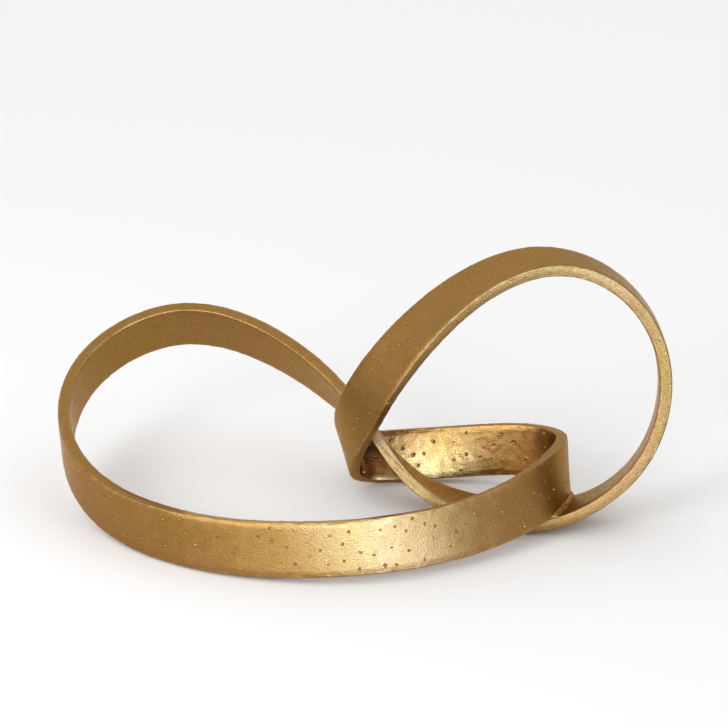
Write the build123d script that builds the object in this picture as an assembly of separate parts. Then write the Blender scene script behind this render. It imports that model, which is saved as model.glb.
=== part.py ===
from build123d import *
import math
import os

# A closed flat band tied as a three-crossing knot, cast in four pieces and
# welded end to end, with its crossings welded where they touch.
# Millimetres, +Z up. X runs along the long side, Y runs away from the front.

# ---- driving sizes of the band ----
BAND_WIDTH = 32.0
BAND_THICKNESS = 7.5
EDGE_RADIUS = 1.2

# ---- driving sizes of the loops, measured between their guide points ----
LOOP_LENGTH = 306.0
LOOP_DEPTH = 189.0
LOOP_RISE = 68.0
RING_WIDTH = 158.0
RING_HEIGHT = 159.0
RING_LEAN = 35.0

# ---- where the ring and the bend stand ----
LOOP_CENTRE_X = -29.0
LOOP_CENTRE_Y = 0.0
RING_LEFT_X = 22.0
RING_FRONT_Y = -44.0
BEND_X = -2.0
RUN_Y = 24.0

# ---- clearances and welds ----
SEAT_GAP = 0.3
PASS_GAP = 1.2
TACK_GAP = 0.8
FOOT_FLAT = 0.4
SEAM_WIDTH = 1.6
FILLET_LEG = 2.4
FILLET_ROOT = 1.0
FILLET_END = 2.0
TACK_RADIUS = 5.0

# ---- fineness ----
SECTION_STEP = 6.0
SAMPLES_PER_SPAN = 12
FIT_PASSES = 4


class Guide:
    """One guide point: a place on the band's lower rail and the way across the band."""

    def __init__(self, name, x, y, z, across):
        self.name = name
        self.rail = Vector(x, y, z)
        self.across = Vector(*across).normalized()

    def centre(self):
        """Centre of the band here, half a width from the rail."""
        return self.rail + self.across * (BAND_WIDTH / 2)


def loop_point(name, along, deep, rise, across):
    """Guide on the big loop, as shares of the loop's own half length, half depth and rise."""
    x = LOOP_CENTRE_X + along * LOOP_LENGTH / 2
    y = LOOP_CENTRE_Y + deep * LOOP_DEPTH / 2
    return Guide(name, x, y, rise * LOOP_RISE, across)


def ring_point(name, along, high, back, across):
    """Guide on the standing ring, as shares of the ring's own width, height and lean."""
    x = RING_LEFT_X + along * RING_WIDTH
    y = RING_FRONT_Y + back * RING_LEAN
    return Guide(name, x, y, high * RING_HEIGHT, across)


def make_guides():
    """Every guide point in order round the knot; the band makes a half turn on the way."""
    return [
        loop_point("back_start", 0.19, 0.46, 0.52, (-0.08, -0.58, 0.81)),
        loop_point("back_middle", -0.18, 0.88, 0.89, (0.02, -0.44, 0.90)),
        loop_point("back_left", -0.58, 1.08, 1.01, (0.06, -0.38, 0.92)),
        loop_point("far_left_back", -0.95, 0.79, 0.65, (0.00, -0.36, 0.93)),
        loop_point("far_left_front", -1.00, 0.17, 0.22, (0.00, -0.22, 0.98)),
        loop_point("front_left", -0.77, -0.50, 0.01, (0.00, 0.00, 1.00)),
        loop_point("front_standing", -0.38, -0.91, 0.00, (0.00, 0.23, 0.97)),
        loop_point("front_middle", 0.06, -1.04, 0.05, (-0.07, 0.35, 0.93)),
        loop_point("front_right", 0.49, -0.93, 0.08, (-0.19, 0.37, 0.91)),
        loop_point("over_ring", 0.82, -0.65, 0.16, (-0.25, 0.37, 0.89)),
        loop_point("fold_front", 0.98, -0.27, 0.22, (-0.15, 0.34, 0.93)),
        loop_point("fold_back", 1.00, 0.07, 0.15, (0.00, 0.24, 0.97)),
        loop_point("run_right", 0.84, 0.27, 0.10, (0.04, 0.22, 0.97)),
        Guide("run_middle", BEND_X + 64, RUN_Y + 4, 2, (0.00, 0.32, 0.95)),
        Guide("run_left", BEND_X + 25, RUN_Y, 1, (-0.11, 0.54, 0.83)),
        Guide("bend_low", BEND_X + 1, RUN_Y - 4, 3, (-0.22, 0.67, 0.71)),
        Guide("bend_side", BEND_X, RUN_Y - 17, 21, (-0.30, 0.71, 0.64)),
        Guide("bend_high", BEND_X + 10, RUN_Y - 33, 47, (-0.53, 0.64, 0.56)),
        ring_point("ring_rising", 0.02, 0.54, 0.71, (-0.57, 0.74, 0.34)),
        ring_point("ring_upper_left", 0.23, 0.83, 0.81, (-0.37, 0.92, 0.14)),
        ring_point("ring_top", 0.54, 1.00, 1.00, (-0.23, 0.97, 0.01)),
        ring_point("ring_upper_right", 0.83, 0.91, 0.88, (0.00, 0.99, -0.09)),
        ring_point("ring_right", 1.00, 0.64, 0.51, (0.07, 0.98, -0.16)),
        ring_point("ring_lower_right", 0.93, 0.28, 0.08, (0.18, 0.98, -0.10)),
        ring_point("ring_bottom", 0.64, 0.04, 0.00, (0.45, 0.89, -0.04)),
        ring_point("under_front", 0.31, 0.00, 0.15, (0.45, 0.89, 0.03)),
        ring_point("return_rising", 0.00, 0.15, 0.71, (0.32, 0.80, -0.50)),
    ]


GUIDES = make_guides()
ROW = {guide.name: number for number, guide in enumerate(GUIDES)}
COUNT = len(GUIDES)


def blend_weights(u):
    """Weights of the four guide points round a place u on a smooth closed curve."""
    return (
        (1 - u) ** 3 / 6,
        (3 * u**3 - 6 * u**2 + 4) / 6,
        (-3 * u**3 + 3 * u**2 + 3 * u + 1) / 6,
        u**3 / 6,
    )


def slope_weights(u):
    """The same weights' slopes, for the direction along the curve."""
    return (
        -((1 - u) ** 2) / 2,
        (9 * u**2 - 12 * u) / 6,
        (-9 * u**2 + 6 * u + 3) / 6,
        u**2 / 2,
    )


class Station:
    """The band's cross-section at one place: centre, along, across, and its inner face's way."""

    def __init__(self, place):
        span = math.floor(place)
        u = place - span
        centre = Vector(0, 0, 0)
        along = Vector(0, 0, 0)
        across = Vector(0, 0, 0)
        for step, weight, slope in zip(range(-1, 3), blend_weights(u), slope_weights(u)):
            lap, row = divmod(span + step, COUNT)
            side = -1 if lap % 2 else 1
            centre += GUIDES[row].centre() * weight
            along += GUIDES[row].centre() * slope
            across += GUIDES[row].across * (weight * side)
        self.place = place
        self.centre = centre
        self.along = along.normalized()
        self.across = (across - self.along * across.dot(self.along)).normalized()
        self.inward = self.across.cross(self.along)

    def point(self, across_share, inward_share):
        """A point of the section, each share from -1 to 1 of the half size."""
        across = self.across * (across_share * BAND_WIDTH / 2)
        inward = self.inward * (inward_share * BAND_THICKNESS / 2)
        return self.centre + across + inward

    def section(self):
        """The rounded section as a face square to the band."""
        plane = Plane(origin=self.centre, x_dir=self.across, z_dir=self.along)
        return plane * RectangleRounded(BAND_WIDTH, BAND_THICKNESS, EDGE_RADIUS)


def stations(first, last):
    """Stations from one place to another, several to each span."""
    number = max(2, round((last - first) * SAMPLES_PER_SPAN))
    return [Station(first + (last - first) * i / number) for i in range(number + 1)]


# ---- fitting the runs to the floor and to each other ----
def lowest(first, last):
    """Height of the lowest point of a run, its rounded edges included."""
    heights = []
    for station in stations(first, last):
        across = abs(station.across.Z) * (BAND_WIDTH / 2 - EDGE_RADIUS)
        inward = abs(station.inward.Z) * (BAND_THICKNESS / 2 - EDGE_RADIUS)
        rounding = EDGE_RADIUS * math.hypot(station.across.Z, station.inward.Z)
        heights.append(station.centre.Z - across - inward - rounding)
    return min(heights)


def beside(run_stations, point):
    """The one of a run's stations whose section is nearest to passing through a point."""
    return min(run_stations, key=lambda item: abs((point - item.centre).dot(item.along)))


def edge_gap(edge_run, edge_side, face_run):
    """Least gap from a run's edge corners to another run's inner face, with the two stations."""
    faces = stations(*face_run)
    best = (math.inf, None, None)
    for station in stations(*edge_run):
        for corner in (-1, 1):
            point = station.point(edge_side, corner)
            face = beside(faces, point)
            offset = point - face.centre
            off_edge = abs(offset.dot(face.across)) > BAND_WIDTH / 2
            if off_edge or abs(offset.dot(face.along)) > BAND_THICKNESS:
                continue
            gap = offset.dot(face.inward) - BAND_THICKNESS / 2
            if gap < best[0]:
                best = (gap, station, face)
    return best


def move(names, shift):
    """Move the named guide points together."""
    for name in names:
        GUIDES[ROW[name]].rail += shift


# each run's places, from one guide point to another
FRONT_RUN = (ROW["front_left"], ROW["front_middle"])
INNER_RUN = (ROW["run_right"], ROW["bend_side"])
RING_FOOT = (ROW["ring_lower_right"], ROW["return_rising"])
FRONT_OVER_RING = (ROW["front_right"], ROW["fold_front"] + 0.6)
RING_UNDER_FRONT = (ROW["ring_lower_right"] + 0.5, ROW["return_rising"] - 0.4)
RETURN_RUN = (ROW["under_front"] + 0.5, COUNT)
PASSED_RUN = (ROW["run_right"], ROW["bend_low"] + 0.2)
RETURN_END = (ROW["return_rising"] - 0.5, COUNT + 0.3)
RISING_RUN = (ROW["bend_side"] + 0.2, ROW["ring_rising"])


def fit_runs():
    """Bring the three crossings to their gaps, then stand three runs on one floor."""
    gap, _, face = edge_gap(RETURN_RUN, 1, PASSED_RUN)
    move(["run_left", "bend_low"], face.inward * (gap - PASS_GAP))
    gap, _, face = edge_gap(RETURN_END, -1, RISING_RUN)
    move(["bend_side", "bend_high", "ring_rising"], face.inward * (gap - TACK_GAP))
    floor = lowest(*FRONT_RUN)
    run_drop = floor - lowest(*INNER_RUN)
    move(["run_middle", "run_left", "bend_low"], Vector(0, 0, run_drop))
    ring_drop = floor - lowest(*RING_FOOT)
    move(["ring_bottom", "under_front"], Vector(0, 0, ring_drop))
    gap, _, face = edge_gap(FRONT_OVER_RING, -1, RING_UNDER_FRONT)
    move(["over_ring", "fold_front"], face.inward * (SEAT_GAP - gap))


for _ in range(FIT_PASSES):
    fit_runs()

# ---- bring the knot over the origin, sunk by the depth of its ground flats ----
corners = [
    station.point(across, inward)
    for station in stations(0, COUNT)
    for across in (-1, 1)
    for inward in (-1, 1)
]
middle_x = (min(c.X for c in corners) + max(c.X for c in corners)) / 2
middle_y = (min(c.Y for c in corners) + max(c.Y for c in corners)) / 2
bottom = lowest(0, COUNT)
move(ROW, Vector(-middle_x, -middle_y, -bottom - FOOT_FLAT))


# ---- the castings ----
def casting(first, last):
    """One length of the band between two places, ground flat where it meets the floor."""
    length = sum(
        (b.centre - a.centre).length
        for a, b in zip(stations(first, last)[:-1], stations(first, last)[1:])
    )
    number = max(3, round(length / SECTION_STEP))
    places = [first + (last - first) * i / number for i in range(number + 1)]
    solid = loft([Station(place).section() for place in places])
    box = solid.bounding_box()
    if box.min.Z < 0:
        below = Pos(box.center().X, box.center().Y, -BAND_WIDTH)
        solid = solid - below * Box(box.size.X * 2, box.size.Y * 2, BAND_WIDTH * 2)
    return solid


# where each butt weld sits on the band
SEAM_PLACES = {
    "back_seam_weld": ROW["back_middle"] + 0.05,
    "fold_seam_weld": ROW["fold_front"] + 0.62,
    "inner_run_seam_weld": ROW["run_middle"] + 0.25,
    "ring_seam_weld": ROW["ring_rising"] - 0.35,
}


def half_seam(place):
    """Half a seam's width, as a share of the span between guide points here."""
    small = 1 / SAMPLES_PER_SPAN
    ahead = Station(place + small).centre
    behind = Station(place - small).centre
    return SEAM_WIDTH * small / (ahead - behind).length


def between(first_seam, last_seam, laps=0):
    """A casting that runs from one seam to the next."""
    first = SEAM_PLACES[first_seam]
    last = SEAM_PLACES[last_seam] + laps * COUNT
    return casting(first + half_seam(first), last - half_seam(last))


def butt_weld(name):
    """The weld that fills one seam, ground flush with the band."""
    place = SEAM_PLACES[name]
    half = half_seam(place)
    return loft([Station(place - half).section(), Station(place + half).section()])


# ---- the welds at the crossings ----
def on_face(face_run, point):
    """The exact station under a point of a run's inner face."""
    place = beside(stations(*face_run), point).place
    small = 1 / SAMPLES_PER_SPAN
    for _ in range(FIT_PASSES):
        face = Station(place)
        stretch = (Station(place + small).centre - face.centre).length / small
        place += (point - face.centre).dot(face.along) / stretch
    return Station(place)


def foot_on(face_run, point, along=Vector(0, 0, 0)):
    """The place on a run's inner face under a point, sunk by the weld's root.

    The way down stays square to the direction given as along.
    """
    face = on_face(face_run, point)
    offset = point - face.centre
    height = offset.dot(face.inward) - BAND_THICKNESS / 2
    down = face.inward - along * along.dot(face.inward)
    share = down.dot(face.inward)
    return point - down * ((height + FILLET_ROOT) / share), abs(offset.dot(face.across))


def fillet_weld(side, front, ring):
    """The bead along one side of the front band where it stands on the ring."""
    profiles = []
    for station in stations(*FRONT_OVER_RING):
        corner = station.point(-1, side)
        out = corner + station.inward * (side * FILLET_LEG)
        toe, reach = foot_on(RING_UNDER_FRONT, out, station.along)
        if reach > BAND_WIDTH / 2 - FILLET_END:
            continue
        heel, _ = foot_on(RING_UNDER_FRONT, station.point(-1, 0), station.along)
        rise = station.across * (FILLET_LEG + FILLET_ROOT)
        top = corner + rise - station.inward * (side * FILLET_ROOT)
        buried = station.point(-1, 0) + rise
        profiles.append(make_face(Polyline(top, toe, heel, buried, close=True)))
    return largest(loft(profiles) - front - ring)


def largest(shape):
    """The biggest solid of a cut, without the crumbs."""
    return max(shape.solids(), key=lambda solid: solid.volume)


def tack_weld(bend, ring):
    """The tack that ties the return's near edge to the back of the rising band."""
    spots = []
    for station in stations(*RETURN_END):
        spot = station.point(-1, -1)
        foot, reach = foot_on(RISING_RUN, spot)
        spots.append((abs(reach - BAND_WIDTH / 2 + TACK_RADIUS), station.place, spot, foot))
    _, _, spot, foot = min(spots, key=lambda item: item[:2])
    centre = (spot + foot) * 0.5
    return largest(Pos(centre.X, centre.Y, centre.Z) * Sphere(TACK_RADIUS) - bend - ring)


nodes = {
    "big_loop_casting": between("back_seam_weld", "fold_seam_weld"),
    "fold_casting": between("fold_seam_weld", "inner_run_seam_weld"),
    "bend_casting": between("inner_run_seam_weld", "ring_seam_weld"),
    "ring_casting": between("ring_seam_weld", "back_seam_weld", laps=1),
}
for seam in SEAM_PLACES:
    nodes[seam] = butt_weld(seam)
nodes["outer_fillet_weld"] = fillet_weld(-1, nodes["big_loop_casting"], nodes["ring_casting"])
nodes["inner_fillet_weld"] = fillet_weld(1, nodes["big_loop_casting"], nodes["ring_casting"])
nodes["bend_tack_weld"] = tack_weld(nodes["bend_casting"], nodes["ring_casting"])

os.makedirs("parts", exist_ok=True)
for name, solid in nodes.items():
    export_step(solid, "parts/" + name + ".step")
    print(name, round(solid.volume, 1), len(solid.solids()), solid.is_valid)
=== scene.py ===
"""A closed knot of flat gold-finished cast band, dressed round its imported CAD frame.

The band is a cast bar, 32 x 7.5 mm, that runs once round a trefoil knot. It is four
castings joined by four dressed butt welds. Two fillet welds hold the front band on
the ring, and one tack weld ties the return strip to the back of the rising band.
A place along the band is counted in guide points, and sizes are in millimetres
unless a class says otherwise.
"""

from __future__ import annotations

import logging
import math
from dataclasses import dataclass, field
from enum import Enum

import bpy
import numpy as np
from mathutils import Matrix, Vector

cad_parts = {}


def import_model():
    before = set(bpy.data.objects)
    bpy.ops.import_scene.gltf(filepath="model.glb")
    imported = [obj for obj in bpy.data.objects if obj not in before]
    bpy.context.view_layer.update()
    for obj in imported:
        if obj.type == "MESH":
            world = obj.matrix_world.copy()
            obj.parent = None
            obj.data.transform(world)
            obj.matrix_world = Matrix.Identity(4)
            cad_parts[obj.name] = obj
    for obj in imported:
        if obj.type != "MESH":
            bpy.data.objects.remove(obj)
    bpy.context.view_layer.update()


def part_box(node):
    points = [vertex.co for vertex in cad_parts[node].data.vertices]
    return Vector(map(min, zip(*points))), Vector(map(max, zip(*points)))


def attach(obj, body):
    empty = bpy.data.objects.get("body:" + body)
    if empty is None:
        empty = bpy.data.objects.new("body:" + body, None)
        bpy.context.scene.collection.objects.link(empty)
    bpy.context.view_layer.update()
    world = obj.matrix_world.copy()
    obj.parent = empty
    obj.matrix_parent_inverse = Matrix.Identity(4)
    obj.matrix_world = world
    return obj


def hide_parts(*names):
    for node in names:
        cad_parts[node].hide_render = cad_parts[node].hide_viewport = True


Piece = bpy.types.Object
Tree = bpy.types.NodeTree
Node = bpy.types.Node
Socket = bpy.types.NodeSocket
Section = tuple[np.ndarray, np.ndarray, np.ndarray]

MM = 0.001
log = logging.getLogger("knot")

# The kinds of node that are used most.
MATH = "ShaderNodeMath"
VECTOR = "ShaderNodeVectorMath"
NOISE = "ShaderNodeTexNoise"
RANGE = "ShaderNodeMapRange"
SHIFT = "GeometryNodeSetPosition"
STORED = "GeometryNodeInputNamedAttribute"
RANDOM = "FunctionNodeRandomValue"


# -------- small tools
def linear(code: str) -> tuple[float, float, float, float]:
    """Turns an sRGB hex colour to the linear values a shader takes.

    Args:
        code: six hex digits after a hash.

    Returns:
        Linear red, green and blue, with alpha 1.
    """
    parts = [int(code[i : i + 2], 16) / 255 for i in (1, 3, 5)]
    red, green, blue = (p / 12.92 if p <= 0.04045 else ((p + 0.055) / 1.055) ** 2.4 for p in parts)
    return red, green, blue, 1.0


def add(tree: Tree, kind: str, feeds: dict | None = None, **settings) -> Node:
    """Adds a node with its settings, and fills or links its inputs.

    Args:
        tree: the shader or geometry tree.
        kind: the node's type name.
        feeds: input name or number, to a value, a socket, or a node whose first output feeds it.
        settings: the node's own properties.

    Returns:
        The new node.
    """
    made = tree.nodes.new(kind)
    for name, value in settings.items():
        setattr(made, name, value)
    for key, value in (feeds or {}).items():
        source = value.outputs[0] if isinstance(value, Node) else value
        if isinstance(source, Socket):
            tree.links.new(source, made.inputs[key])
        else:
            made.inputs[key].default_value = source
    return made


def unit(rows: np.ndarray) -> np.ndarray:
    """Each row divided by its length."""
    return rows / np.linalg.norm(rows, axis=-1, keepdims=True)


def dot(a: np.ndarray, b: np.ndarray) -> np.ndarray:
    """Row by row dot product."""
    return (a * b).sum(-1)


def distances(line: np.ndarray) -> np.ndarray:
    """How far each point of a line is from its first, along the line."""
    return np.concatenate(((0.0,), np.linalg.norm(np.diff(line, axis=0), axis=1).cumsum()))


# -------- the knot's path
class Way(Enum):
    """What a guide point is measured from."""

    LOOP = "loop"
    RING = "ring"
    RUN = "run"


@dataclass(frozen=True)
class Guide:
    """One guide point of the band's lower or near rail.

    Three shares place it in the wide loop or in the tall ring, and three plain
    millimetres on the inner run. Across is the band's width direction there.
    """

    name: str
    way: Way
    place: tuple[float, float, float]
    across: tuple[float, float, float]


GUIDES = (
    Guide("back_start", Way.LOOP, (0.19, 0.46, 0.52), (-0.08, -0.58, 0.81)),
    Guide("back_middle", Way.LOOP, (-0.18, 0.88, 0.89), (0.02, -0.44, 0.90)),
    Guide("back_left", Way.LOOP, (-0.58, 1.08, 1.01), (0.06, -0.38, 0.92)),
    Guide("far_left_back", Way.LOOP, (-0.95, 0.79, 0.65), (0, -0.36, 0.93)),
    Guide("far_left_front", Way.LOOP, (-1.0, 0.17, 0.22), (0, -0.22, 0.98)),
    Guide("front_left", Way.LOOP, (-0.77, -0.50, 0.01), (0, 0, 1)),
    Guide("front_standing", Way.LOOP, (-0.38, -0.91, 0), (0, 0.23, 0.97)),
    Guide("front_middle", Way.LOOP, (0.06, -1.04, 0.05), (-0.07, 0.35, 0.93)),
    Guide("front_right", Way.LOOP, (0.49, -0.93, 0.08), (-0.19, 0.37, 0.91)),
    Guide("over_ring", Way.LOOP, (0.82, -0.65, 0.16), (-0.25, 0.37, 0.89)),
    Guide("fold_front", Way.LOOP, (0.98, -0.27, 0.22), (-0.15, 0.34, 0.93)),
    Guide("fold_back", Way.LOOP, (1.0, 0.07, 0.15), (0, 0.24, 0.97)),
    Guide("run_right", Way.LOOP, (0.84, 0.27, 0.10), (0.04, 0.22, 0.97)),
    Guide("run_middle", Way.RUN, (64, 4, 2), (0, 0.32, 0.95)),
    Guide("run_left", Way.RUN, (25, 0, 1), (-0.11, 0.54, 0.83)),
    Guide("bend_low", Way.RUN, (1, -4, 3), (-0.22, 0.67, 0.71)),
    Guide("bend_side", Way.RUN, (0, -17, 21), (-0.30, 0.71, 0.64)),
    Guide("bend_high", Way.RUN, (10, -33, 47), (-0.53, 0.64, 0.56)),
    Guide("ring_rising", Way.RING, (0.02, 0.54, 0.71), (-0.57, 0.74, 0.34)),
    Guide("ring_upper_left", Way.RING, (0.23, 0.83, 0.81), (-0.37, 0.92, 0.14)),
    Guide("ring_top", Way.RING, (0.54, 1.0, 1.0), (-0.23, 0.97, 0.01)),
    Guide("ring_upper_right", Way.RING, (0.83, 0.91, 0.88), (0, 0.99, -0.09)),
    Guide("ring_right", Way.RING, (1.0, 0.64, 0.51), (0.07, 0.98, -0.16)),
    Guide("ring_lower_right", Way.RING, (0.93, 0.28, 0.08), (0.18, 0.98, -0.10)),
    Guide("ring_bottom", Way.RING, (0.64, 0.04, 0), (0.45, 0.89, -0.04)),
    Guide("under_front", Way.RING, (0.31, 0, 0.15), (0.45, 0.89, 0.03)),
    Guide("return_rising", Way.RING, (0, 0.15, 0.71), (0.32, 0.80, -0.50)),
)
ROW = {guide.name: number for number, guide in enumerate(GUIDES)}
COUNT = len(GUIDES)
SEAMS = {"back": 1.05, "fold": 10.62, "inner_run": 13.25, "ring": 17.65}

# The stretches that come near each other at the crossings, from a first to a last place.
UNDER_FRONT = (ROW["under_front"] + 0.5, COUNT)
INNER_RUN = (ROW["run_right"], ROW["bend_low"] + 0.2)
RETURN_STRIP = (ROW["return_rising"] - 0.5, COUNT + 0.3)
RISING_BAND = (ROW["bend_side"] + 0.2, ROW["ring_rising"])
FRONT_BAND = (ROW["front_right"], ROW["fold_front"] + 0.6)
RING_FOOT = (ROW["ring_lower_right"] + 0.5, ROW["return_rising"] - 0.4)

SAMPLES_PER_SPAN = 12
FINE_SAMPLES = 4000
FIT_PASSES = 4


@dataclass
class Frames:
    """The band's cross-sections at many places, one row of each array per place."""

    place: np.ndarray
    centre: np.ndarray
    along: np.ndarray
    across: np.ndarray
    inward: np.ndarray


@dataclass
class Knot:
    """The band's path through the whole knot, in millimetres.

    It repeats the solid model's guide points and the fit that brings the crossings to
    their gaps and three runs to one floor, so the visual band lies where the solid does.
    """

    band_width: float = 32.0
    band_thickness: float = 7.5
    edge_radius: float = 1.2
    loop_length: float = 306.0
    loop_depth: float = 189.0
    loop_rise: float = 68.0
    loop_centre: tuple[float, float] = (-29.0, 0.0)
    ring_width: float = 158.0
    ring_height: float = 159.0
    ring_lean: float = 35.0
    ring_corner: tuple[float, float] = (22.0, -44.0)
    run_corner: tuple[float, float] = (-2.0, 24.0)
    seat_gap: float = 0.3
    pass_gap: float = 1.2
    tack_gap: float = 0.8
    foot_flat: float = 0.4
    rails: np.ndarray = field(init=False)
    widths: np.ndarray = field(init=False)

    def __post_init__(self) -> None:
        """Places the guide points and fits the runs."""
        self.rails = np.array([self.rail(guide) for guide in GUIDES])
        self.widths = unit(np.array([guide.across for guide in GUIDES], float))
        for _ in range(FIT_PASSES):
            self.fit()
        self.stand()

    def rail(self, guide: Guide) -> tuple[float, float, float]:
        """A guide point's place before the fit.

        Args:
            guide: the guide point.

        Returns:
            Its x, y and z.
        """
        a, b, c = guide.place
        if guide.way is Way.LOOP:
            x, y = self.loop_centre
            return x + a * self.loop_length / 2, y + b * self.loop_depth / 2, c * self.loop_rise
        if guide.way is Way.RING:
            x, y = self.ring_corner
            return x + a * self.ring_width, y + c * self.ring_lean, b * self.ring_height
        x, y = self.run_corner
        return x + a, y + b, c

    def frames(self, places: np.ndarray) -> Frames:
        """The sections at some places, counted in guide points.

        Args:
            places: any real numbers; each lap of the knot is one COUNT.

        Returns:
            The frames there.
        """
        span = np.floor(places).astype(int)
        u = places - span
        weight = np.stack(
            ((1 - u) ** 3, 3 * u**3 - 6 * u**2 + 4, -3 * u**3 + 3 * u**2 + 3 * u + 1, u**3)
        ).T / 6
        slope = np.stack((-3 * (1 - u) ** 2, 9 * u**2 - 12 * u, -9 * u**2 + 6 * u + 3, 3 * u**2)).T / 6
        lap, row = np.divmod(span[:, None] + np.arange(-1, 3), COUNT)
        side = np.where(lap % 2 == 1, -1.0, 1.0)
        middles = self.rails + self.widths * self.band_width / 2
        centre = (weight[..., None] * middles[row]).sum(1)
        along = unit((slope[..., None] * middles[row]).sum(1))
        across = ((weight * side)[..., None] * self.widths[row]).sum(1)
        across = unit(across - along * dot(across, along)[:, None])
        return Frames(places, centre, along, across, np.cross(across, along))

    def run(self, first: float, last: float) -> Frames:
        """Frames from one place to another, several to each span."""
        number = max(2, round((last - first) * SAMPLES_PER_SPAN))
        return self.frames(first + (last - first) * np.arange(number + 1) / number)

    def per_mm(self, place: float, small: float = 0.01) -> float:
        """How far along the guide points one millimetre of band reaches.

        Args:
            place: where on the band.
            small: half the stretch that is measured there.

        Returns:
            Guide points to a millimetre.
        """
        near = self.frames(np.array((place - small, place + small))).centre
        return float(2 * small / np.linalg.norm(near[1] - near[0]))

    def travel(self, place: float) -> float:
        """Length of band from the first guide point to a place."""
        return float(distances(self.frames(np.linspace(0, place, FINE_SAMPLES)).centre)[-1])

    def lowest(self, first: float, last: float) -> float:
        """Finds how low a run comes, its rounded edges included.

        Args:
            first: the run's first place.
            last: its last place.

        Returns:
            The height of its lowest point.
        """
        f = self.run(first, last)
        across = np.abs(f.across[:, 2]) * (self.band_width / 2 - self.edge_radius)
        inward = np.abs(f.inward[:, 2]) * (self.band_thickness / 2 - self.edge_radius)
        rounding = self.edge_radius * np.hypot(f.across[:, 2], f.inward[:, 2])
        return float((f.centre[:, 2] - across - inward - rounding).min())

    def edge_gap(
        self, edge_run: tuple[float, float], side: int, face_run: tuple[float, float]
    ) -> tuple[float, np.ndarray]:
        """Least gap from a run's edge corners to another run's inner face.

        Args:
            edge_run: first and last place of the run whose edge comes near.
            side: 1 or -1, which of its two edges.
            face_run: first and last place of the other run.

        Returns:
            The gap, and the way its face looks there.
        """
        edges, faces = self.run(*edge_run), self.run(*face_run)
        half_width, half_thick = self.band_width / 2, self.band_thickness / 2
        best = (math.inf, np.zeros(3))
        for i in range(len(edges.place)):
            for corner in (-1, 1):
                point = edges.centre[i] + edges.across[i] * side * half_width
                point = point + edges.inward[i] * corner * half_thick
                k = int(np.abs(dot(point - faces.centre, faces.along)).argmin())
                offset = point - faces.centre[k]
                if abs(offset @ faces.across[k]) > half_width:
                    continue
                if abs(offset @ faces.along[k]) > self.band_thickness:
                    continue
                gap = float(offset @ faces.inward[k]) - half_thick
                if gap < best[0]:
                    best = (gap, faces.inward[k])
        return best

    def move(self, names: tuple[str, ...], shift: np.ndarray) -> None:
        """Moves the named guide points together."""
        for name in names:
            self.rails[ROW[name]] += shift

    def fit(self) -> None:
        """Brings the crossings to their gaps, and three runs to one floor."""
        gap, face = self.edge_gap(UNDER_FRONT, 1, INNER_RUN)
        self.move(("run_left", "bend_low"), face * (gap - self.pass_gap))
        gap, face = self.edge_gap(RETURN_STRIP, -1, RISING_BAND)
        self.move(("bend_side", "bend_high", "ring_rising"), face * (gap - self.tack_gap))
        floor = self.lowest(ROW["front_left"], ROW["front_middle"])
        for first, last, names in (
            ("run_right", "bend_side", ("run_middle", "run_left", "bend_low")),
            ("ring_lower_right", "return_rising", ("ring_bottom", "under_front")),
        ):
            drop = floor - self.lowest(ROW[first], ROW[last])
            self.move(names, np.array((0, 0, drop)))
        gap, face = self.edge_gap(FRONT_BAND, -1, RING_FOOT)
        self.move(("over_ring", "fold_front"), face * (self.seat_gap - gap))

    def stand(self) -> None:
        """Brings the knot over the origin, sunk by the depth of its ground flats."""
        f = self.run(0, COUNT)
        half_width, half_thick = self.band_width / 2, self.band_thickness / 2
        corners = np.concatenate(
            [
                f.centre + f.across * a * half_width + f.inward * b * half_thick
                for a in (-1, 1)
                for b in (-1, 1)
            ]
        )
        x, y = (corners.min(0) + corners.max(0))[:2] / 2
        self.rails += np.array((-x, -y, -self.lowest(0, COUNT) - self.foot_flat))


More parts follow.
